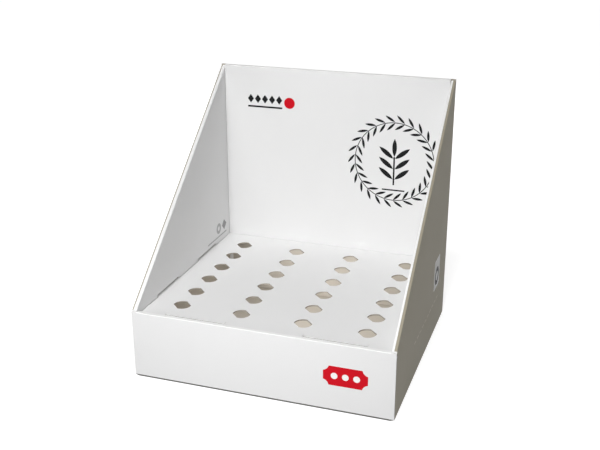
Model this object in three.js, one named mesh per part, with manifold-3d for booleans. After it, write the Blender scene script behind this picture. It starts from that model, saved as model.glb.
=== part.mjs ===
// Counter display box of folded corrugated board, in millimetres, +Z up.
// The front faces -Y. The origin is on the underside of the base, at its middle.
// The body is one sheet: a base whose four double walls roll over at the top and lock into it.
// The deck is a second sheet: a holed platform on folded flaps and legs.

import * as THREE from 'three';
import { mergeVertices } from 'three/addons/utils/BufferGeometryUtils.js';
import Module from 'manifold-3d';

const wasm = await Module();
wasm.setup();

// Outside sizes of the body
const width = 270;
const depth = 245;
const backHeight = 275;
const lipHeight = 72;

// Board and folds
const board = 1.5;
const wallThickness = 5;
const foldRadius = 0.8;
const baseFoldRadius = 1.5;
const foldLeg = 8;
const layerGap = 0.25;
const sheetGap = 0.3;

// Front and back walls run past the side walls' ends; their lower corners are lifted
const creaseInset = 3.5;
const cornerLift = 2;

// Corner flaps, which lie between the two layers of the front and back walls
const cornerFlapLength = 60;
const cornerFlapTaper = 12;

// Tabs at the foot of the inner walls, locked in slots of the base
const lockTabWidth = 40;
const lockTabSpread = 0.52;
const slotPlay = 0.3;
const tabRecess = 0.25;

// Holed deck
const deckHeight = 68;
const deckShift = 1;
const holeColumns = 4;
const holeRows = 6;
const holeColumnPitch = 65;
const holeRowPitch = 34.1;
const holeDiameter = 18.2;
const holeFlats = 14.6;
const holeTurn = -Math.PI / 4;
const holeArcSteps = 9;

// Deck tabs that lock into slots in the inner side walls
const deckTabWidth = 50;
const deckTabPitch = 101.5;
const deckTabReach = 3.2;
const deckTabNotch = 5;
const wallSlotEndPlay = 1;
const wallSlotHeadroom = 2.2;
const wallSlotFootroom = 0.5;

// Deck flaps and front legs
const legWidth = 64;
const legPitch = 145;
const legSetback = 8;
const flapCornerGap = 3.5;
const cornerCut = 16;

// Places that follow from the sizes
const halfWidth = width / 2;
const halfDepth = depth / 2;
const slope = Math.atan2(backHeight - lipHeight, depth);
const innerHalfWidth = halfWidth - wallThickness;
const innerHalfDepth = halfDepth - wallThickness;
const hookHalfLength = innerHalfWidth - sheetGap;
const sideHalfLength = halfDepth - board - sheetGap;
const innerLeafFoot = board + sheetGap;
const deckHalfWidth = innerHalfWidth - sheetGap;
const deckHalfDepth = innerHalfDepth - sheetGap;
const deckUnderside = deckHeight - board;
const holeGridFront = deckShift - (holeRows - 1) * holeRowPitch / 2;
const holeGridLeft = -(holeColumns - 1) * holeColumnPitch / 2;
const deckTabPlaces = [deckShift - deckTabPitch / 2, deckShift + deckTabPitch / 2];
const legPlaces = [-legPitch / 2, legPitch / 2];

// A closed outline; a corner given with a third number is rounded to that radius
function outline(corners) {
  const shape = new THREE.Shape();
  corners.forEach(([x, y, radius = 0], i) => {
    const corner = new THREE.Vector2(x, y);
    const before = new THREE.Vector2(...corners.at(i - 1)).sub(corner).normalize();
    const after = new THREE.Vector2(...corners[(i + 1) % corners.length]).sub(corner).normalize();
    const start = corner.clone().addScaledVector(before, radius);
    const end = corner.clone().addScaledVector(after, radius);
    if (i === 0) shape.moveTo(start.x, start.y);
    else shape.lineTo(start.x, start.y);
    if (radius > 0) shape.quadraticCurveTo(corner.x, corner.y, end.x, end.y);
  });
  shape.closePath();
  return shape;
}

function rectangle(x0, x1, y0, y1) {
  return outline([[x0, y0], [x1, y0], [x1, y1], [x0, y1]]);
}

function solidOf(geometry) {
  const bare = geometry.clone();
  bare.deleteAttribute('normal');
  bare.deleteAttribute('uv');
  const merged = mergeVertices(bare, 1e-4);
  return new wasm.Manifold(new wasm.Mesh({
    numProp: 3,
    vertProperties: new Float32Array(merged.attributes.position.array),
    triVerts: new Uint32Array(merged.index.array),
  }));
}

// Extrudes an outline and turns its two axes and its depth onto the given directions
function sheet(shape, thickness, along, across, origin) {
  const geometry = new THREE.ExtrudeGeometry(shape, { depth: thickness, bevelEnabled: false, curveSegments: 4 });
  const out = new THREE.Vector3().crossVectors(along, across);
  const place = new THREE.Matrix4().makeBasis(along, across, out).setPosition(origin);
  return solidOf(geometry.applyMatrix4(place));
}

const xAxis = new THREE.Vector3(1, 0, 0);
const yAxis = new THREE.Vector3(0, 1, 0);
const zAxis = new THREE.Vector3(0, 0, 1);

// A (y, z) outline between two places on X, an (x, z) outline between two on Y, and so on
const sheetOnX = (shape, from, to) => sheet(shape, to - from, yAxis, zAxis, new THREE.Vector3(from, 0, 0));
const sheetOnY = (shape, from, to) => sheet(shape, to - from, xAxis, zAxis, new THREE.Vector3(0, to, 0));
const sheetOnZ = (shape, from, to) => sheet(shape, to - from, xAxis, yAxis, new THREE.Vector3(0, 0, from));

function block(x0, x1, y0, y1, z0, z1) {
  return sheetOnZ(rectangle(Math.min(x0, x1), Math.max(x0, x1), Math.min(y0, y1), Math.max(y0, y1)), z0, z1);
}

const joinAll = (solids) => solids.reduce((whole, next) => whole.add(next));
const cutAll = (solid, cutters) => cutters.reduce((whole, next) => whole.subtract(next), solid);

// The rolled-over top of a double wall: two layers and the strip that joins them
function rollOver(face, inward, top, foot) {
  return outline([
    [face, top, foldRadius],
    [face + inward * wallThickness, top, foldRadius],
    [face + inward * wallThickness, foot],
    [face + inward * (wallThickness - board), foot],
    [face + inward * (wallThickness - board), top - board],
    [face + inward * board, top - board],
    [face + inward * board, top - foldLeg],
    [face, top - foldLeg],
  ]);
}

// The fold between the base and an outer wall
function baseFold(face, inward) {
  return outline([
    [face, 0, baseFoldRadius],
    [face, foldLeg],
    [face + inward * board, foldLeg],
    [face + inward * board, board],
    [face + inward * foldLeg, board],
    [face + inward * foldLeg, 0],
  ]);
}

const lockTabPlaces = (length) => [-length * lockTabSpread / 2, length * lockTabSpread / 2];

// Tabs at the foot of an inner wall; the same rectangles, opened out, are the slots in the base
function lockTabs(inner, length, isSide, sign, play) {
  const half = lockTabWidth / 2 + play;
  const faces = [sign * (inner - play), sign * (inner + board + play)];
  const foot = play > 0 ? -board : tabRecess;
  return lockTabPlaces(length).map((place) => {
    const span = [place - half, place + half];
    return isSide
      ? block(...faces, ...span, foot, innerLeafFoot + board)
      : block(...span, ...faces, foot, innerLeafFoot + board);
  });
}

function base() {
  const slabHalfWidth = halfWidth - foldLeg / 2;
  const slabHalfDepth = halfDepth - foldLeg / 2;
  const creaseHalfWidth = halfWidth - creaseInset;
  const creaseHalfDepth = sideHalfLength - creaseInset;
  const folds = [-1, 1].flatMap((sign) => [
    sheetOnX(baseFold(sign * halfDepth, -sign), -creaseHalfWidth, creaseHalfWidth),
    sheetOnY(baseFold(sign * halfWidth, -sign), -creaseHalfDepth, creaseHalfDepth),
  ]);
  const slab = block(-slabHalfWidth, slabHalfWidth, -slabHalfDepth, slabHalfDepth, 0, board);
  const slots = [-1, 1].flatMap((sign) => [
    ...lockTabs(innerHalfDepth, width, false, sign, slotPlay),
    ...lockTabs(innerHalfWidth, depth, true, sign, slotPlay),
  ]);
  return cutAll(joinAll([slab, ...folds]), slots);
}

// Front or back wall: a full-width outer layer, and a roll-over that fits between the side walls
function crossWall(sign, height) {
  const face = sign * halfDepth;
  const creaseEnd = halfWidth - creaseInset;
  const outer = outline([
    [-halfWidth, cornerLift],
    [-creaseEnd, board / 2],
    [-creaseEnd, baseFoldRadius],
    [creaseEnd, baseFoldRadius],
    [creaseEnd, board / 2],
    [halfWidth, cornerLift],
    [halfWidth, height],
    [hookHalfLength, height],
    [hookHalfLength, height - foldRadius],
    [-hookHalfLength, height - foldRadius],
    [-hookHalfLength, height],
    [-halfWidth, height],
  ]);
  const outerFrom = sign > 0 ? face - board : face;
  return joinAll([
    sheetOnY(outer, outerFrom, outerFrom + board),
    sheetOnX(rollOver(face, -sign, height, innerLeafFoot), -hookHalfLength, hookHalfLength),
    ...lockTabs(innerHalfDepth, width, false, sign, 0),
  ]);
}

// Height of the slanted top of a side wall at a place on Y, less a depth below it
const slantHeight = (y, below = 0) => lipHeight + (y + halfDepth) * Math.tan(slope) - below / Math.cos(slope);

// One layer of a side wall, between two places on Y
function sideLayer(from, to, foot, below) {
  return outline([[from, foot], [to, foot], [to, slantHeight(to, below)], [from, slantHeight(from, below)]]);
}

function slantedRollOver(sign) {
  const up = new THREE.Vector3(0, -Math.sin(slope), Math.cos(slope));
  const profile = rollOver(sign * halfWidth, -sign, 0, -foldLeg);
  const length = depth / Math.cos(slope);
  const cap = sheet(profile, length, xAxis, up, new THREE.Vector3(0, halfDepth, backHeight));
  const reach = block(-width, width, -sideHalfLength, sideHalfLength, board, backHeight + foldLeg);
  return cap.intersect(reach);
}

// A flap from the upright edge of a side wall, tucked between the layers of a front or back wall
function cornerFlap(sign, end) {
  const near = end * sideHalfLength;
  const far = near - end * board;
  const top = (end > 0 ? backHeight : lipHeight) - board - 2 * layerGap;
  const root = halfWidth - board / 2;
  const tip = halfWidth - cornerFlapLength;
  const flap = outline([
    [sign * root, foldLeg],
    [sign * tip, foldLeg],
    [sign * tip, top - cornerFlapTaper],
    [sign * (tip + cornerFlapTaper), top],
    [sign * (innerHalfWidth - board), top],
    [sign * root, Math.min(top, slantHeight(Math.min(near, far), wallThickness))],
  ]);
  return sheetOnY(flap, Math.min(near, far), Math.max(near, far));
}

function sideWall(sign) {
  const overlap = foldLeg - board;
  const outerX = [sign * halfWidth, sign * (halfWidth - board)].sort((a, b) => a - b);
  const innerX = [sign * innerHalfWidth, sign * (innerHalfWidth + board)].sort((a, b) => a - b);
  const innerEnd = innerHalfDepth + board - layerGap;
  const outer = sheetOnX(sideLayer(-sideHalfLength, sideHalfLength, baseFoldRadius, overlap), ...outerX);
  const inner = sheetOnX(sideLayer(-innerEnd, innerEnd, innerLeafFoot, overlap), ...innerX);
  const slots = deckTabPlaces.map((place) => block(
    sign * (innerHalfWidth - board), sign * (innerHalfWidth + board + layerGap),
    place - deckTabWidth / 2 - wallSlotEndPlay, place + deckTabWidth / 2 + wallSlotEndPlay,
    deckUnderside - wallSlotFootroom, deckHeight + wallSlotHeadroom,
  ));
  return joinAll([
    outer,
    cutAll(inner, slots),
    slantedRollOver(sign),
    cornerFlap(sign, -1),
    cornerFlap(sign, 1),
    ...lockTabs(innerHalfWidth, depth, true, sign, 0),
  ]);
}

function displayBody() {
  return joinAll([
    base(),
    crossWall(-1, lipHeight),
    crossWall(1, backHeight),
    sideWall(-1),
    sideWall(1),
  ]);
}

// A round hole with two parallel flats, turned on the deck
function deckHole(x, y) {
  const radius = holeDiameter / 2;
  const halfArc = Math.asin(holeFlats / holeDiameter);
  const corners = [0, Math.PI].flatMap((middle) => (
    Array.from({ length: holeArcSteps + 1 }, (_, i) => {
      const angle = middle + holeTurn + halfArc * (2 * i / holeArcSteps - 1);
      return [x + radius * Math.cos(angle), y + radius * Math.sin(angle)];
    })
  ));
  return sheetOnZ(outline(corners), deckUnderside - board, deckHeight + board);
}

function deckHoles() {
  const holes = [];
  for (let column = 0; column < holeColumns; column += 1) {
    for (let row = 0; row < holeRows; row += 1) {
      holes.push(deckHole(holeGridLeft + column * holeColumnPitch, holeGridFront + row * holeRowPitch));
    }
  }
  return holes;
}

// The fold from the deck down into a flap or leg
function flapProfile(face, inward) {
  return outline([
    [face, deckHeight, foldRadius],
    [face + inward * foldLeg, deckHeight],
    [face + inward * foldLeg, deckUnderside],
    [face + inward * board, deckUnderside],
    [face + inward * board, innerLeafFoot],
    [face, innerLeafFoot],
  ]);
}

function sideFlap(sign) {
  const flapFront = -deckHalfDepth + legSetback + cornerCut;
  const flapBack = deckHalfDepth - flapCornerGap;
  const flap = sheetOnY(flapProfile(sign * deckHalfWidth, -sign), flapFront, flapBack);
  const notches = deckTabPlaces.map((place) => block(
    sign * (deckHalfWidth - board - layerGap), sign * (deckHalfWidth + board),
    place - deckTabWidth / 2 - layerGap, place + deckTabWidth / 2 + layerGap,
    deckUnderside - deckTabNotch, deckHeight + board,
  ));
  const tabs = deckTabPlaces.map((place) => block(
    sign * (deckHalfWidth - foldLeg), sign * (deckHalfWidth + deckTabReach),
    place - deckTabWidth / 2, place + deckTabWidth / 2,
    deckUnderside, deckHeight,
  ));
  return joinAll([cutAll(flap, notches), ...tabs]);
}

function deck() {
  const frontEdge = -deckHalfDepth;
  const creaseEdge = frontEdge + legSetback;
  const backEdge = deckHalfDepth;
  const panelHalfWidth = deckHalfWidth - foldLeg / 2;
  const panel = block(-panelHalfWidth, panelHalfWidth, frontEdge, backEdge - foldLeg / 2, deckUnderside, deckHeight);
  const corners = [-1, 1].map((sign) => block(
    sign * panelHalfWidth, sign * deckHalfWidth, frontEdge, creaseEdge + cornerCut, deckUnderside, deckHeight,
  ));
  const recesses = legPlaces.map((place) => block(
    place - legWidth / 2 - layerGap, place + legWidth / 2 + layerGap,
    frontEdge - board, creaseEdge + foldLeg / 2, deckUnderside - board, deckHeight + board,
  ));
  const legs = legPlaces.map((place) => (
    sheetOnX(flapProfile(creaseEdge, 1), place - legWidth / 2, place + legWidth / 2)
  ));
  const backHalfWidth = deckHalfWidth - board - flapCornerGap;
  const backFlap = sheetOnX(flapProfile(backEdge, -1), -backHalfWidth, backHalfWidth);
  const backCorners = [-1, 1].map((sign) => block(
    sign * (backHalfWidth - board), sign * deckHalfWidth, backEdge - foldLeg, backEdge, deckUnderside, deckHeight,
  ));
  const plate = cutAll(joinAll([panel, ...corners]), recesses);
  const folded = joinAll([plate, ...legs, backFlap, ...backCorners, sideFlap(-1), sideFlap(1)]);
  return cutAll(folded, deckHoles());
}

function meshOf(solid, name, material) {
  const { vertProperties, triVerts } = solid.getMesh();
  const geometry = new THREE.BufferGeometry();
  geometry.setAttribute('position', new THREE.BufferAttribute(new Float32Array(vertProperties), 3));
  geometry.setIndex(new THREE.BufferAttribute(new Uint32Array(triVerts), 1));
  geometry.computeVertexNormals();
  const mesh = new THREE.Mesh(geometry, material);
  mesh.name = name;
  return mesh;
}

const whiteBoard = new THREE.MeshStandardMaterial({ color: 0xe8e8e8, roughness: 0.75, metalness: 0 });
const whiteDeckBoard = new THREE.MeshStandardMaterial({ color: 0xebebeb, roughness: 0.75, metalness: 0 });

const group = new THREE.Group();
group.add(meshOf(displayBody(), 'display_body', whiteBoard));
group.add(meshOf(deck(), 'holed_deck', whiteDeckBoard));

export default group;
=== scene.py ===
import bpy
import math
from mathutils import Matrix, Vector


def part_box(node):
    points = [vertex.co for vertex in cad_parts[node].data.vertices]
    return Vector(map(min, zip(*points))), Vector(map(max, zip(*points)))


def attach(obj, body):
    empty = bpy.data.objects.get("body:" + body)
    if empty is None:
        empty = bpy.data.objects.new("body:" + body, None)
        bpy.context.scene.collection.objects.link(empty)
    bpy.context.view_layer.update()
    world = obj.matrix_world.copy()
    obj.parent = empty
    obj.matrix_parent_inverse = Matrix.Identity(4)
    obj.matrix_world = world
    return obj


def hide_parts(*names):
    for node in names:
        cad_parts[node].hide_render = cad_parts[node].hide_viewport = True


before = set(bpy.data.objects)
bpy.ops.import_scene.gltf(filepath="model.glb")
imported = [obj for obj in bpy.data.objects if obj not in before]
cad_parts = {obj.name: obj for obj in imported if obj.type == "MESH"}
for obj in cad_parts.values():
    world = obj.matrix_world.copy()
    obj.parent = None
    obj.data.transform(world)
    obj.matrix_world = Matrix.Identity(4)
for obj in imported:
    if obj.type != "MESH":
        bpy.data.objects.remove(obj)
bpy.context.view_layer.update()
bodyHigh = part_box("display_body")[1]
deckLow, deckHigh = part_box("holed_deck")
print("frame loaded")

millimetre = 0.001
halfWidth = bodyHigh.x
halfDepth = bodyHigh.y
deckTop = deckHigh.z

# the folded board, in metres, as the frame has it
boardSheet = {
    "thickness": 1.5 * millimetre,
    "wall": 5.0 * millimetre,  # two layers with a flap between them
    "lipHeight": 72.0 * millimetre,
    "foldRound": 0.8 * millimetre,
    "baseFoldRound": 1.5 * millimetre,
    "creaseInset": 3.5 * millimetre,
    # how far the taupe runs over the top of each wall, as the sheet came off the press
    "leftOverlap": 1.4 * millimetre,
    "rightOverlap": 2.8 * millimetre,
    "backOverlap": 1.4 * millimetre,
    "frontBand": 2.2 * millimetre,  # painted shade along the front's lower fold: a dark strip for the shaded downward rounding and its contact shadow
    "deckBorder": 8.0 * millimetre,  # no hole comes this near the deck's edge
    "deckFlapReach": 5.0 * millimetre,
    "deckLegReach": 9.0 * millimetre,
    "tolerance": 0.06 * millimetre,
}
# how the CAD triangles are merged and their edges softened
boardFinish = {
    "mergeWithin": 0.002 * millimetre,
    "flatWithinDegrees": 0.5,
    "edgeRound": 0.18 * millimetre,
    "edgeSteps": 2,
    "sharpDegrees": 50,
    "smoothDegrees": 35,
    "broadFace": 0.9 * millimetre,  # a face wider than this is shaded flat
}
# how far a normal points one way, from 0 to 1, before its face counts as facing that way
facing = {"square": 0.7, "sideways": 0.5, "upright": 0.3, "upward": 0.2, "downward": 0.05, "cutEnd": 0.99}
backFace = halfDepth - boardSheet["wall"]  # printed inner face of the back wall
leftFace = -halfWidth + boardSheet["wall"]


def deselectAll():
    if bpy.context.object and bpy.context.object.mode != "OBJECT":
        bpy.ops.object.mode_set(mode="OBJECT")
    bpy.ops.object.select_all(action="DESELECT")


def activate(piece):
    deselectAll()
    piece.select_set(True)
    bpy.context.view_layer.objects.active = piece


# camera, fitted to the corners of the box
cameraView = {
    "place": (0.29027, -0.85656, 0.48247),
    "turnDegrees": 18.671,
    "tiltDegrees": 20.924,
    "lens": 55.672,
    "sensor": 36.0,
    "clipStart": 0.01,
}


def makeCamera():
    deselectAll()
    turn = math.radians(cameraView["turnDegrees"])
    tilt = math.radians(90 - cameraView["tiltDegrees"])
    bpy.ops.object.camera_add(location=cameraView["place"], rotation=(tilt, 0, turn))
    camera = bpy.context.object
    camera.name = "viewCamera"
    camera.data.lens = cameraView["lens"]
    camera.data.sensor_width = cameraView["sensor"]
    camera.data.clip_start = cameraView["clipStart"]
    bpy.context.scene.camera = camera


# shared shader groups
paperNoise = {"feltDetail": 4.0, "feltRoughness": 0.65, "cloudDetail": 3.0}


def newGroup(name, inputs, outputs):
    group = bpy.data.node_groups.new(name, "ShaderNodeTree")
    for socketName, kind in inputs:
        group.interface.new_socket(name=socketName, in_out="INPUT", socket_type=kind)
    for socketName, kind in outputs:
        group.interface.new_socket(name=socketName, in_out="OUTPUT", socket_type=kind)
    return group, group.nodes.new("NodeGroupInput"), group.nodes.new("NodeGroupOutput")


def mathNode(tree, operation, first, second):
    node = tree.nodes.new("ShaderNodeMath")
    node.operation = operation
    for slotNumber, value in enumerate((first, second)):
        if isinstance(value, (int, float)):
            node.inputs[slotNumber].default_value = value
        else:
            tree.links.new(value, node.inputs[slotNumber])
    return node.outputs[0]


def makePaperFibre():
    # cloudy paper tone and a fine felt, both 0 to 1
    group, given, made = newGroup(
        "paperFibre",
        [("Vector", "NodeSocketVector"), ("Felt Scale", "NodeSocketFloat"),
         ("Cloud Scale", "NodeSocketFloat")],
        [("Felt", "NodeSocketFloat"), ("Cloud", "NodeSocketFloat")],
    )
    felt = group.nodes.new("ShaderNodeTexNoise")
    felt.inputs["Detail"].default_value = paperNoise["feltDetail"]
    felt.inputs["Roughness"].default_value = paperNoise["feltRoughness"]
    cloud = group.nodes.new("ShaderNodeTexNoise")
    cloud.inputs["Detail"].default_value = paperNoise["cloudDetail"]
    for noise, scaleName in ((felt, "Felt Scale"), (cloud, "Cloud Scale")):
        group.links.new(given.outputs["Vector"], noise.inputs["Vector"])
        group.links.new(given.outputs[scaleName], noise.inputs["Scale"])
    group.links.new(felt.outputs["Fac"], made.inputs["Felt"])
    group.links.new(cloud.outputs["Fac"], made.inputs["Cloud"])
    return group


def makeFluteRibs():
    # the faint washboard that the flutes press into the liner
    group, given, made = newGroup(
        "fluteRibs",
        [("Vector", "NodeSocketVector"), ("Direction", "NodeSocketVector"), ("Pitch", "NodeSocketFloat")],
        [("Rib", "NodeSocketFloat")],
    )
    along = group.nodes.new("ShaderNodeVectorMath")
    along.operation = "DOT_PRODUCT"
    group.links.new(given.outputs["Vector"], along.inputs[0])
    group.links.new(given.outputs["Direction"], along.inputs[1])
    turns = mathNode(group, "DIVIDE", along.outputs["Value"], given.outputs["Pitch"])
    wave = mathNode(group, "SINE", mathNode(group, "MULTIPLY", turns, 2 * math.pi), 0.0)
    half = mathNode(group, "MULTIPLY", wave, 0.5)
    group.links.new(mathNode(group, "ADD", half, 0.5), made.inputs["Rib"])
    return group


paperFibre = makePaperFibre()
fluteRibs = makeFluteRibs()


def placeGroup(tree, group, coordinates, values):
    node = tree.nodes.new("ShaderNodeGroup")
    node.node_tree = group
    tree.links.new(coordinates, node.inputs["Vector"])
    for name, value in values.items():
        node.inputs[name].default_value = value
    return node


def boardMaterial(name, look):
    material = bpy.data.materials.new(name)
    material.use_nodes = True
    tree = material.node_tree
    shader = tree.nodes["Principled BSDF"]
    coordinates = tree.nodes.new("ShaderNodeTexCoord").outputs["Object"]
    fibre = placeGroup(tree, paperFibre, coordinates, {
        "Felt Scale": look["feltScale"], "Cloud Scale": look["cloudScale"]})

    tone = tree.nodes.new("ShaderNodeMapRange")
    tone.inputs["To Min"].default_value = 1 - look["variation"]
    tone.inputs["To Max"].default_value = 1 + look["variation"]
    felt = mathNode(tree, "MULTIPLY", fibre.outputs["Felt"], look["feltShare"])
    cloud = mathNode(tree, "MULTIPLY", fibre.outputs["Cloud"], 1 - look["feltShare"])
    tree.links.new(mathNode(tree, "ADD", felt, cloud), tone.inputs["Value"])
    paint = tree.nodes.new("ShaderNodeVectorMath")
    paint.operation = "SCALE"
    paint.inputs[0].default_value = look["colour"]
    tree.links.new(tone.outputs["Result"], paint.inputs["Scale"])
    tree.links.new(paint.outputs["Vector"], shader.inputs["Base Color"])

    sheen = tree.nodes.new("ShaderNodeMapRange")
    sheen.inputs["To Min"].default_value = look["roughness"] - look["roughnessSpread"]
    sheen.inputs["To Max"].default_value = look["roughness"] + look["roughnessSpread"]
    tree.links.new(fibre.outputs["Cloud"], sheen.inputs["Value"])
    tree.links.new(sheen.outputs["Result"], shader.inputs["Roughness"])
    shader.inputs["Specular IOR Level"].default_value = look["specular"]

    height = mathNode(tree, "MULTIPLY", fibre.outputs["Felt"], look["feltHeight"])
    if look["ribHeight"] > 0:
        ribs = placeGroup(tree, fluteRibs, coordinates, {
            "Direction": look["ribDirection"], "Pitch": look["ribPitch"]})
        ribbed = mathNode(tree, "MULTIPLY", ribs.outputs["Rib"], look["ribHeight"])
        height = mathNode(tree, "ADD", height, ribbed)
    bump = tree.nodes.new("ShaderNodeBump")
    bump.inputs["Strength"].default_value = 1.0
    bump.inputs["Distance"].default_value = millimetre
    tree.links.new(height, bump.inputs["Height"])
    tree.links.new(bump.outputs["Normal"], shader.inputs["Normal"])
    return material


coatedPaper = {
    "colour": (0.805, 0.805, 0.805), "variation": 0.018, "feltShare": 0.35, "feltScale": 1400.0,
    "cloudScale": 38.0, "roughness": 0.62, "roughnessSpread": 0.06, "specular": 0.25,
    "feltHeight": 0.012, "ribHeight": 0.004, "ribPitch": 3.2 * millimetre, "ribDirection": (1.0, 0.0, 1.0),
}
boardLooks = {
    "whitePrint": coatedPaper,
    # painted light: the deck's white is lighter than the body's print, making up for the shade the deck
    # gets inside the box
    "whiteDeck": {**coatedPaper, "colour": (0.87, 0.87, 0.868)},
    # painted highlight: a brighter, glossier copy of the white print on the fold tops and the lip, for the
    # light they catch
    "foldWhite": {**coatedPaper, "colour": (0.92, 0.92, 0.915), "roughness": 0.5},
    # painted shade: a dark grey for the shaded underside of the front fold and the contact shadow below it
    "bandPrint": {**coatedPaper, "colour": (0.15, 0.148, 0.14), "specular": 0.1},
    "taupePrint": {**coatedPaper, "colour": (0.355, 0.325, 0.252), "variation": 0.03, "roughness": 0.58},
    "bareReverse": {**coatedPaper, "colour": (0.47, 0.435, 0.385), "variation": 0.07, "feltShare": 0.6,
                    "roughness": 0.85, "specular": 0.1, "feltHeight": 0.03},
    # painted shade: the hole walls are darker than the board's white cut edge, so they stay dim under the
    # lamps
    "holeEdge": {**coatedPaper, "colour": (0.36, 0.335, 0.295), "variation": 0.08, "roughness": 0.9,
                 "specular": 0.05, "feltHeight": 0.05, "ribHeight": 0.0},
    "cutEdge": {**coatedPaper, "colour": (0.84, 0.835, 0.82), "variation": 0.05, "feltShare": 0.8,
                "roughness": 0.9, "specular": 0.05, "feltHeight": 0.05, "ribHeight": 0.0},
}
boards = {name: boardMaterial(name, look) for name, look in boardLooks.items()}
print("board materials made")


# the two folded sheets
def copyOfNode(nodeName, pieceName):
    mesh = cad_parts[nodeName].data.copy()
    mesh.name = pieceName
    piece = bpy.data.objects.new(pieceName, mesh)
    bpy.context.collection.objects.link(piece)
    activate(piece)
    bpy.ops.object.mode_set(mode="EDIT")
    bpy.ops.mesh.select_all(action="SELECT")
    bpy.ops.mesh.remove_doubles(threshold=boardFinish["mergeWithin"])
    bpy.ops.mesh.select_all(action="SELECT")
    bpy.ops.mesh.dissolve_limited(angle_limit=math.radians(boardFinish["flatWithinDegrees"]))
    bpy.ops.object.mode_set(mode="OBJECT")
    return piece


def cutAcross(piece, point, normal):
    activate(piece)
    bpy.ops.object.mode_set(mode="EDIT")
    bpy.ops.mesh.select_all(action="SELECT")
    bpy.ops.mesh.bisect(plane_co=point, plane_no=normal)
    bpy.ops.object.mode_set(mode="OBJECT")


def paintFaces(piece, names, chooser):
    piece.data.materials.clear()
    for name in names:
        piece.data.materials.append(boards[name])
    for face in piece.data.polygons:
        face.material_index = names.index(chooser(face.center, face.normal))


def flattenBroadFaces(piece):
    # only the narrow strips of a fold or an edge are smooth, so the flat panels stay evenly lit
    mesh = piece.data
    for face in mesh.polygons:
        corners = [mesh.vertices[number].co for number in face.vertices]
        around = sum((corners[place] - corners[place - 1]).length for place in range(len(corners)))
        stripWidth = 2 * face.area / around
        if stripWidth > boardFinish["broadFace"]:
            face.use_smooth = False


def roundEdges(piece):
    activate(piece)
    bevel = piece.modifiers.new("roundedEdges", "BEVEL")
    bevel.width = boardFinish["edgeRound"]
    bevel.segments = boardFinish["edgeSteps"]
    bevel.limit_method = "ANGLE"
    bevel.angle_limit = math.radians(boardFinish["sharpDegrees"])
    bevel.use_clamp_overlap = True
    bpy.ops.object.modifier_apply(modifier="roundedEdges")
    bpy.ops.object.shade_smooth_by_angle(angle=math.radians(boardFinish["smoothDegrees"]))
    flattenBroadFaces(piece)


def bodyFinish(centre, normal):
    near = boardSheet["tolerance"]
    sheet = boardSheet["thickness"]
    square = facing["square"]
    lipStart = boardSheet["lipHeight"] - boardSheet["foldRound"]
    betweenLeaves = abs(centre.y) < halfDepth - sheet - near
    onOuterSide = abs(centre.x) > halfWidth - near and abs(normal.x) > square
    onOuterBack = centre.y > halfDepth - near and normal.y > square
    onOuterFront = centre.y < -halfDepth + near and normal.y < -square
    # the front's lowest strip gets the painted shade band
    if centre.y < -halfDepth + boardSheet["baseFoldRound"] and centre.z < boardSheet["frontBand"]:
        return "bandPrint"
    if onOuterFront:
        return "whitePrint"
    if onOuterSide:
        return "taupePrint" if betweenLeaves else "cutEdge"
    if onOuterBack:
        return "taupePrint"
    if centre.z < sheet and normal.z < -facing["downward"]:
        return "taupePrint" if insideCrease(centre) else "cutEdge"
    if normal.z > facing["upward"] and centre.z > lipStart - near:
        return topFinish(centre, normal, betweenLeaves)
    if facesRoom(centre, normal):
        return "whitePrint"
    onRollOver = centre.z > lipStart and centre.y < -halfDepth + boardSheet["wall"]
    if onRollOver and abs(normal.x) < facing["sideways"]:
        return "whitePrint"
    if isReverse(centre, normal):
        return "bareReverse"
    return "cutEdge"


def facesRoom(centre, normal):
    near = boardSheet["tolerance"]
    onInnerSide = abs(abs(centre.x) - (halfWidth - boardSheet["wall"])) < near
    onInnerEnd = abs(abs(centre.y) - (halfDepth - boardSheet["wall"])) < near
    sideTurnsIn = abs(normal.x) > facing["square"] and centre.x * normal.x < 0
    endTurnsIn = centre.y * normal.y < -facing["square"] * abs(centre.y)
    return (onInnerSide and sideTurnsIn) or (onInnerEnd and endTurnsIn)


def insideCrease(centre):
    withinSides = abs(centre.x) < halfWidth - boardSheet["tolerance"]
    return withinSides or abs(centre.y) < halfDepth - boardSheet["creaseInset"]


# the white parts of the wall tops get the brighter painted highlight white
def topFinish(centre, normal, betweenLeaves):
    overlap = boardSheet["rightOverlap"] if centre.x > 0 else boardSheet["leftOverlap"]
    hookEnd = halfWidth - boardSheet["wall"]
    if abs(normal.x) < facing["cutEnd"] and betweenLeaves and abs(centre.x) > hookEnd:
        return "taupePrint" if abs(centre.x) > halfWidth - overlap else "foldWhite"
    if abs(centre.x) > hookEnd:
        return "cutEdge"
    if centre.y > halfDepth - boardSheet["backOverlap"]:
        return "taupePrint"
    return "foldWhite"


def isReverse(centre, normal):
    sheet = boardSheet["thickness"]
    wall = boardSheet["wall"]
    near = boardSheet["tolerance"]
    square = facing["square"]
    for place, size in ((abs(centre.x), halfWidth), (abs(centre.y), halfDepth)):
        for depth in (sheet, wall - sheet):
            if abs(place - (size - depth)) < near:
                return abs(normal.x) > square or abs(normal.y) > square
    return abs(centre.z - sheet) < near and normal.z > square


def makeDisplayBody():
    piece = copyOfNode("display_body", "displayBody")
    cutAcross(piece, (-halfWidth + boardSheet["leftOverlap"], 0, 0), (1, 0, 0))
    cutAcross(piece, (halfWidth - boardSheet["rightOverlap"], 0, 0), (1, 0, 0))
    cutAcross(piece, (0, halfDepth - boardSheet["backOverlap"], 0), (0, 1, 0))
    cutAcross(piece, (0, 0, boardSheet["frontBand"]), (0, 0, 1))
    finishes = ["whitePrint", "foldWhite", "bandPrint", "taupePrint", "bareReverse", "cutEdge"]
    paintFaces(piece, finishes, bodyFinish)
    roundEdges(piece)
    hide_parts("display_body")
    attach(piece, "root")


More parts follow.
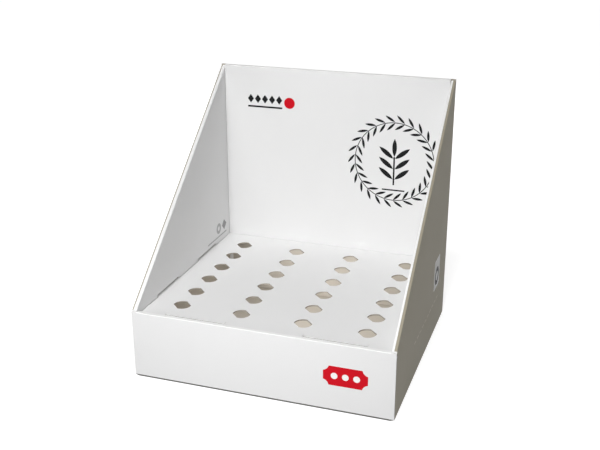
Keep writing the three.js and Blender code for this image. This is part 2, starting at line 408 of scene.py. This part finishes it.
def insideDeck(centre):
    border = boardSheet["deckBorder"]
    return abs(centre.x) < deckHigh.x - border and abs(centre.y) < deckHigh.y - border


def deckFinish(centre, normal):
    near = boardSheet["tolerance"]
    underside = deckTop - boardSheet["thickness"]
    upright = abs(normal.z) < facing["upright"]
    if centre.z > deckTop - boardSheet["foldRound"] - near and normal.z > facing["upward"]:
        return "whiteDeck"
    if abs(centre.z - underside) < near and normal.z < -facing["square"]:
        return "bareReverse"
    # the walls of the holes get the painted shade colour
    if centre.z > underside + near and upright and insideDeck(centre):
        return "holeEdge"
    if centre.z < underside and upright:
        return flapFinish(centre, normal)
    return "cutEdge"


def flapFinish(centre, normal):
    square = facing["square"]
    awayFromMiddle = centre.x * normal.x
    onOuterBack = centre.y > deckHigh.y - boardSheet["tolerance"]
    onOuterSide = (abs(centre.x) > deckHigh.x - boardSheet["deckFlapReach"]
                   and awayFromMiddle > square * abs(centre.x))
    onLegFront = normal.y < -square and centre.y < deckLow.y + boardSheet["deckLegReach"]
    if onOuterBack or onOuterSide or onLegFront:
        return "whiteDeck"
    onReverse = awayFromMiddle < -square * abs(centre.x) or abs(normal.y) > square
    return "bareReverse" if onReverse else "cutEdge"


def makeHoledDeck():
    piece = copyOfNode("holed_deck", "holedDeck")
    paintFaces(piece, ["whiteDeck", "bareReverse", "holeEdge", "cutEdge"], deckFinish)
    roundEdges(piece)
    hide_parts("holed_deck")
    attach(piece, "root")


# printed shapes: each is drawn flat and face up, in metres across and up its wall, then stood on the wall
walls = {
    "backInside": {"turn": (90, 0, 0), "place": (0, backFace, 0)},
    "frontOutside": {"turn": (90, 0, 0), "place": (0, -halfDepth, 0)},
    "leftInside": {"turn": (90, 0, 90), "place": (leftFace, 0, 0)},
    "rightOutside": {"turn": (90, 0, 90), "place": (halfWidth, 0, 0)},
}
inkLooks = {
    "inkBlack": (0.012, 0.012, 0.013),
    "inkRed": (0.60, 0.006, 0.016),
    "inkPaper": (0.92, 0.91, 0.90),
    "inkGrey": (0.46, 0.46, 0.46),
    "inkDarkGrey": (0.34, 0.34, 0.34),
    "inkStone": (0.60, 0.56, 0.48),
}
inkFilm = {"depth": 0.05 * millimetre, "sunk": 0.01 * millimetre, "step": 0.03 * millimetre}
inkFinish = {
    **coatedPaper, "variation": 0.06, "roughness": 0.5, "specular": 0.12, "feltHeight": 0.008,
    "ribHeight": 0.003,
}
inks = {name: boardMaterial(name, {**inkFinish, "colour": colour}) for name, colour in inkLooks.items()}
outlineDetail = {
    "discCorners": 48,
    "ringCorners": 96,
    "plateCornerSteps": 8,
    "leafSideFrom": 0.4,  # as a share of the leaf's width, out to its side corners at 0.5
    "leafRoundPercent": 78,
    "leafRoundSteps": 7,
}


def selectVertices(piece, chooser):
    activate(piece)
    bpy.ops.object.mode_set(mode="EDIT")
    bpy.ops.mesh.select_mode(type="VERT")
    bpy.ops.mesh.select_all(action="DESELECT")
    bpy.ops.object.mode_set(mode="OBJECT")
    for vertex in piece.data.vertices:
        vertex.select = chooser(vertex.co)
    bpy.ops.object.mode_set(mode="EDIT")


def flatDisc(radius, corners=outlineDetail["discCorners"]):
    deselectAll()
    bpy.ops.mesh.primitive_circle_add(vertices=corners, radius=radius, fill_type="NGON")
    return bpy.context.object


def stretch(piece, across, up):
    activate(piece)
    bpy.ops.object.mode_set(mode="EDIT")
    bpy.ops.mesh.select_all(action="SELECT")
    bpy.ops.transform.resize(value=(across, up, 1))
    bpy.ops.object.mode_set(mode="OBJECT")


def flatPlate(width, height, corner=0.0, profile=0.5):
    # a profile under 0.25 scoops the corners out instead of rounding them
    deselectAll()
    bpy.ops.mesh.primitive_plane_add(size=1)
    plate = bpy.context.object
    stretch(plate, width, height)
    if corner > 0:
        steps = outlineDetail["plateCornerSteps"]
        selectVertices(plate, lambda place: True)
        bpy.ops.mesh.bevel(offset=corner, segments=steps, affect="VERTICES", profile=profile)
        bpy.ops.object.mode_set(mode="OBJECT")
    return plate


def flatLeaf(length, width):
    # a square on its corner, drawn out, with its two side corners rounded off
    leaf = flatDisc(0.5, corners=4)
    stretch(leaf, width, length)
    selectVertices(leaf, lambda place: abs(place.x) > width * outlineDetail["leafSideFrom"])
    bpy.ops.mesh.bevel(
        offset_type="PERCENT", offset_pct=outlineDetail["leafRoundPercent"],
        segments=outlineDetail["leafRoundSteps"], affect="VERTICES")
    bpy.ops.object.mode_set(mode="OBJECT")
    return leaf


def flatRing(radius, width):
    ring = flatDisc(radius + width / 2, corners=outlineDetail["ringCorners"])
    activate(ring)
    bpy.ops.object.mode_set(mode="EDIT")
    bpy.ops.mesh.select_all(action="SELECT")
    bpy.ops.mesh.inset(thickness=width)
    bpy.ops.mesh.delete(type="FACE")
    bpy.ops.object.mode_set(mode="OBJECT")
    return ring


def copyShape(shape, across, up, turnDegrees=0.0):
    copied = bpy.data.objects.new(shape.name, shape.data.copy())
    bpy.context.collection.objects.link(copied)
    copied.location = (across, up, 0)
    copied.rotation_euler = (0, 0, math.radians(turnDegrees))
    return copied


def discard(shape):
    bpy.data.objects.remove(shape, do_unlink=True)


def finishPrint(shapes, name, wallName, ink, onTopOf=0):
    deselectAll()
    for shape in shapes:
        shape.select_set(True)
    bpy.context.view_layer.objects.active = shapes[0]
    bpy.ops.object.transform_apply(location=True, rotation=True, scale=True)
    if len(shapes) > 1:
        bpy.ops.object.join()
    piece = bpy.context.object
    piece.name = name
    piece.data.name = name
    film = piece.modifiers.new("inkFilm", "SOLIDIFY")
    film.thickness = inkFilm["depth"] + inkFilm["sunk"]
    film.offset = 1
    bpy.ops.object.modifier_apply(modifier="inkFilm")
    wall = walls[wallName]
    lift = onTopOf * inkFilm["step"] - inkFilm["sunk"]
    piece.location = (0, 0, lift)
    bpy.ops.object.transform_apply(location=True, rotation=True, scale=True)
    piece.rotation_euler = [math.radians(angle) for angle in wall["turn"]]
    piece.location = wall["place"]
    bpy.ops.object.transform_apply(location=True, rotation=True, scale=True)
    piece.data.materials.clear()
    piece.data.materials.append(inks[ink])
    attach(piece, "root")


def leafReach(stem, length, leanDegrees):
    # how far out from the stem's middle line the middle of a leaning leaf lies
    return stem / 2 + length / 2 * math.sin(math.radians(leanDegrees))


wreath = {
    "across": 72 * millimetre, "up": 178 * millimetre, "radius": 45 * millimetre,
    "stem": 0.9 * millimetre, "leafPairs": 26, "leafLength": 13 * millimetre,
    "leafWidth": 5.2 * millimetre, "leafLean": 38,
}


def makeWreath():
    leaf = flatLeaf(wreath["leafLength"], wreath["leafWidth"])
    ring = flatRing(wreath["radius"], wreath["stem"])
    ring.location = (wreath["across"], wreath["up"], 0)
    shapes = [ring]
    leafOut = leafReach(wreath["stem"], wreath["leafLength"], wreath["leafLean"])
    for number in range(wreath["leafPairs"]):
        around = 360 * number / wreath["leafPairs"]
        outward = math.radians(around)
        for side in (-1, 1):
            reach = wreath["radius"] + side * leafOut
            across = wreath["across"] + reach * math.cos(outward)
            up = wreath["up"] + reach * math.sin(outward)
            heading = around - side * wreath["leafLean"]  # 0 lies along the ring
            shapes.append(copyShape(leaf, across, up, heading))
    discard(leaf)
    finishPrint(shapes, "wreathPrint", "backInside", "inkBlack")


sprig = {
    "height": 54 * millimetre, "stem": 1.8 * millimetre, "pairs": 3, "leafLength": 21 * millimetre,
    "leafWidth": 9.5 * millimetre, "leafLean": 52, "firstLeaf": 12 * millimetre,
    "leafStep": 12 * millimetre, "leafTuck": 0.25,  # the share of a leaf below its place on the stem
    "ruleWidth": 26 * millimetre, "ruleHeight": 1.6 * millimetre, "ruleDrop": 6 * millimetre,
}


def makeSprig():
    leaf = flatLeaf(sprig["leafLength"], sprig["leafWidth"])
    foot = wreath["up"] - sprig["height"] / 2
    stemHeight = sprig["height"] - sprig["leafLength"]
    stem = flatPlate(sprig["stem"], stemHeight)
    stem.location = (wreath["across"], foot + stemHeight / 2, 0)
    rule = flatPlate(sprig["ruleWidth"], sprig["ruleHeight"])
    rule.location = (wreath["across"], foot - sprig["ruleDrop"], 0)
    topLeaf = copyShape(leaf, wreath["across"], foot + sprig["height"] - sprig["leafLength"] / 2)
    shapes = [stem, rule, topLeaf]
    leafOut = leafReach(sprig["stem"], sprig["leafLength"], sprig["leafLean"])
    leafUp = sprig["leafLength"] / 2 * math.cos(math.radians(sprig["leafLean"]))
    tuck = sprig["leafLength"] * sprig["leafTuck"]
    for pair in range(sprig["pairs"]):
        base = foot + sprig["firstLeaf"] + pair * sprig["leafStep"] - tuck
        for side in (-1, 1):
            across = wreath["across"] + side * leafOut
            shapes.append(copyShape(leaf, across, base + leafUp, -side * sprig["leafLean"]))
    discard(leaf)
    finishPrint(shapes, "sprigPrint", "backInside", "inkBlack")


cornerRow = {
    "left": -102 * millimetre, "up": 238 * millimetre, "pitch": 8.6 * millimetre, "count": 5,
    "across": 7.4 * millimetre, "tallness": 1.35,  # a diamond's height over its width
    "ruleUp": 229 * millimetre, "ruleHeight": 2.0 * millimetre,
    "discAcross": -51.5 * millimetre, "discUp": 235.5 * millimetre, "discRadius": 6.4 * millimetre,
}


def makeCornerRow():
    diamond = flatDisc(cornerRow["across"] / 2, corners=4)
    stretch(diamond, 1.0, cornerRow["tallness"])
    first = cornerRow["left"] + cornerRow["across"] / 2
    shapes = [copyShape(diamond, first + number * cornerRow["pitch"], cornerRow["up"])
              for number in range(cornerRow["count"])]
    discard(diamond)
    ruleWidth = cornerRow["pitch"] * (cornerRow["count"] - 1) + cornerRow["across"]
    rule = flatPlate(ruleWidth, cornerRow["ruleHeight"])
    rule.location = (cornerRow["left"] + ruleWidth / 2, cornerRow["ruleUp"], 0)
    finishPrint(shapes + [rule], "cornerRowPrint", "backInside", "inkBlack")
    disc = flatDisc(cornerRow["discRadius"])
    disc.location = (cornerRow["discAcross"], cornerRow["discUp"], 0)
    finishPrint([disc], "cornerDiscPrint", "backInside", "inkRed")


badge = {
    "across": 87 * millimetre, "up": 38.5 * millimetre, "width": 44 * millimetre,
    "height": 20.5 * millimetre, "corner": 5.5 * millimetre, "scoop": 0.12,
    "dots": 3, "dotRadius": 3.3 * millimetre, "dotPitch": 11 * millimetre,
}


def makeBadge():
    plate = flatPlate(badge["width"], badge["height"], badge["corner"], badge["scoop"])
    plate.location = (badge["across"], badge["up"], 0)
    finishPrint([plate], "badgePrint", "frontOutside", "inkRed")
    dot = flatDisc(badge["dotRadius"])
    middle = (badge["dots"] - 1) / 2
    shapes = [copyShape(dot, badge["across"] + (number - middle) * badge["dotPitch"], badge["up"])
              for number in range(badge["dots"])]
    discard(dot)
    finishPrint(shapes, "badgeDotsPrint", "frontOutside", "inkPaper", onTopOf=1)


greyMarks = {
    "ringAlong": 86 * millimetre, "diamondAlong": 102 * millimetre, "up": 85 * millimetre,
    "radius": 6.4 * millimetre, "ringWidth": 3.6 * millimetre, "lineAlong": 81.5 * millimetre,
    "lineLength": 54 * millimetre, "lineUp": 75 * millimetre, "lineHeight": 1.6 * millimetre,
}


def makeGreyMarks():
    ring = flatRing(greyMarks["radius"] - greyMarks["ringWidth"] / 2, greyMarks["ringWidth"])
    ring.location = (greyMarks["ringAlong"], greyMarks["up"], 0)
    line = flatPlate(greyMarks["lineLength"], greyMarks["lineHeight"])
    line.location = (greyMarks["lineAlong"], greyMarks["lineUp"], 0)
    finishPrint([ring, line], "paleMarksPrint", "leftInside", "inkGrey")
    diamond = flatDisc(greyMarks["radius"], corners=4)
    diamond.location = (greyMarks["diamondAlong"], greyMarks["up"], 0)
    finishPrint([diamond], "darkMarkPrint", "leftInside", "inkDarkGrey")


sideLabel = {
    "along": 69.5 * millimetre, "up": 72.5 * millimetre, "width": 30 * millimetre,
    "height": 35 * millimetre, "corner": 3 * millimetre,
    "ringUp": 69 * millimetre, "ringRadius": 8 * millimetre, "ringWidth": 5 * millimetre,
    "dashUp": 40 * millimetre, "dashFrom": -40 * millimetre, "dashTo": 82 * millimetre,
    "dash": 8 * millimetre, "dashPitch": 12.6 * millimetre, "dashHeight": 1.1 * millimetre,
}


def makeSideLabel():
    label = flatPlate(sideLabel["width"], sideLabel["height"], sideLabel["corner"])
    label.location = (sideLabel["along"], sideLabel["up"], 0)
    finishPrint([label], "sideLabelPrint", "rightOutside", "inkPaper")
    ring = flatRing(sideLabel["ringRadius"], sideLabel["ringWidth"])
    ring.location = (sideLabel["along"], sideLabel["ringUp"], 0)
    finishPrint([ring], "sideRingPrint", "rightOutside", "inkBlack", onTopOf=1)
    dash = flatPlate(sideLabel["dash"], sideLabel["dashHeight"])
    count = int((sideLabel["dashTo"] - sideLabel["dashFrom"]) / sideLabel["dashPitch"]) + 1
    first = sideLabel["dashFrom"] + sideLabel["dash"] / 2
    shapes = [copyShape(dash, first + number * sideLabel["dashPitch"], sideLabel["dashUp"])
              for number in range(count)]
    discard(dash)
    finishPrint(shapes, "sideDashesPrint", "rightOutside", "inkStone")


# light, floor and backdrop
studio = {
    "sunFrom": (0.0, -0.43, 0.58),
    "sunPower": 1.35,
    "sunSoftness": 9.0,
    "skyStrength": 0.13,
    "floorSize": 14.0,
    "floorHeight": 0.03 * millimetre,  # just above the base's underside, so the two never share a plane
    "floorBounce": 0.30,
    "floorWhite": 0.81,
    "floorShadowShare": 0.45,
}


def whiteForCamera(tree):
    # 1 where the picture itself or a reflection in it is drawn, 0 where light is gathered
    path = tree.nodes.new("ShaderNodeLightPath")
    seen = mathNode(tree, "MAXIMUM", path.outputs["Is Camera Ray"], path.outputs["Is Glossy Ray"])
    return mathNode(tree, "MAXIMUM", seen, path.outputs["Is Transmission Ray"])


def makeWorld():
    world = bpy.data.worlds.new("studioWorld")
    bpy.context.scene.world = world
    world.use_nodes = True
    tree = world.node_tree
    background = tree.nodes["Background"]
    background.inputs["Color"].default_value = (1.0, 1.0, 1.0, 1.0)
    strength = tree.nodes.new("ShaderNodeMapRange")
    strength.inputs["To Min"].default_value = studio["skyStrength"]
    strength.inputs["To Max"].default_value = 1.0
    tree.links.new(whiteForCamera(tree), strength.inputs["Value"])
    tree.links.new(strength.outputs["Result"], background.inputs["Strength"])


def makeSun():
    deselectAll()
    place = Vector(studio["sunFrom"])
    turn = (-place).to_track_quat("-Z", "Y").to_euler()
    bpy.ops.object.light_add(type="SUN", location=place, rotation=turn)
    sun = bpy.context.object
    sun.name = "studioSun"
    sun.data.energy = studio["sunPower"]
    sun.data.angle = math.radians(studio["sunSoftness"])


def addSoftbox(name, lamp):
    deselectAll()
    place = Vector(lamp["place"])
    turn = (Vector(lamp["aim"]) - place).to_track_quat("-Z", "Y").to_euler()
    bpy.ops.object.light_add(type="AREA", location=place, rotation=turn)
    softbox = bpy.context.object
    softbox.name = name
    softbox.data.shape = "RECTANGLE"
    softbox.data.size, softbox.data.size_y = lamp["size"]
    softbox.data.energy = lamp["power"]
    softbox.data.spread = math.radians(lamp["spreadDegrees"])
    softbox.visible_camera = False
    softbox.visible_glossy = False


wideOpen = 180  # the spread in degrees of a lamp with no hood
# the top softbox has a hood, so that it lights the upper back wall more than the rest
# the photograph shows the base lit through the holes, so two small lamps light the space below the deck
softboxes = {
    "frontSoftbox": {
        "place": (-0.02, -0.46, 0.25), "aim": (0, 0, 0.05), "size": (0.5, 0.26), "power": 1.35,
        "spreadDegrees": wideOpen,
    },
    "topSoftbox": {
        "place": (-0.08, -0.40, 0.44), "aim": (0.0, 0.12, 0.30), "size": (0.3, 0.06), "power": 0.055,
        "spreadDegrees": 50,
    },
    "rightFill": {
        "place": (1.1, 0.0, 0.06), "aim": (0, 0, 0.06), "size": (0.6, 0.09), "power": 0.7,
        "spreadDegrees": wideOpen,
    },
    "leftFill": {
        "place": (-1.1, 0.1, 0.16), "aim": (0, 0, 0.1), "size": (0.5, 0.25), "power": 3.0,
        "spreadDegrees": wideOpen,
    },
    "backFill": {
        "place": (-0.3, 1.2, 0.45), "aim": (0, 0, 0.1), "size": (0.8, 0.5), "power": 4.5,
        "spreadDegrees": wideOpen,
    },
    "trayLampAbove": {
        "place": (0.015, 0.012, deckTop - 3 * millimetre), "aim": (0.015, 0.012, 0),
        "size": (1.4 * deckHigh.x, 1.9 * deckHigh.y), "power": 0.155, "spreadDegrees": wideOpen,
    },
    "trayLampFront": {
        "place": (0.0, deckLow.y + 10 * millimetre, deckTop * 0.3), "aim": (0.0, deckHigh.y, 0.012),
        "size": (1.1 * deckHigh.x, deckTop * 0.4), "power": 0.048, "spreadDegrees": 75,
    },
}


def makeFloor():
    deselectAll()
    bpy.ops.mesh.primitive_plane_add(size=studio["floorSize"], location=(0, 0, studio["floorHeight"]))
    floor = bpy.context.object
    floor.name = "studioFloor"
    material = bpy.data.materials.new("studioFloor")
    material.use_nodes = True
    tree = material.node_tree
    tree.nodes.remove(tree.nodes["Principled BSDF"])
    shade = tree.nodes.new("ShaderNodeBsdfDiffuse")
    shade.inputs["Color"].default_value = (studio["floorShadowShare"],) * 3 + (1.0,)
    glow = tree.nodes.new("ShaderNodeEmission")
    glow.inputs["Strength"].default_value = studio["floorWhite"]
    seen = tree.nodes.new("ShaderNodeAddShader")
    tree.links.new(shade.outputs[0], seen.inputs[0])
    tree.links.new(glow.outputs[0], seen.inputs[1])
    bounce = tree.nodes.new("ShaderNodeBsdfDiffuse")
    bounce.inputs["Color"].default_value = (studio["floorBounce"],) * 3 + (1.0,)
    choose = tree.nodes.new("ShaderNodeMixShader")
    tree.links.new(whiteForCamera(tree), choose.inputs["Fac"])
    tree.links.new(bounce.outputs[0], choose.inputs[1])
    tree.links.new(seen.outputs[0], choose.inputs[2])
    tree.links.new(choose.outputs[0], tree.nodes["Material Output"].inputs["Surface"])
    floor.data.materials.append(material)


makeCamera()
makeDisplayBody()
makeHoledDeck()
print("folded sheets finished")
makeWreath()
makeSprig()
makeCornerRow()
makeBadge()
makeGreyMarks()
makeSideLabel()
print("printed shapes laid on")
makeWorld()
makeSun()
for lampName, lampSettings in softboxes.items():
    addSoftbox(lampName, lampSettings)
makeFloor()
bpy.context.scene.view_settings.view_transform = "Standard"
print("studio ready")
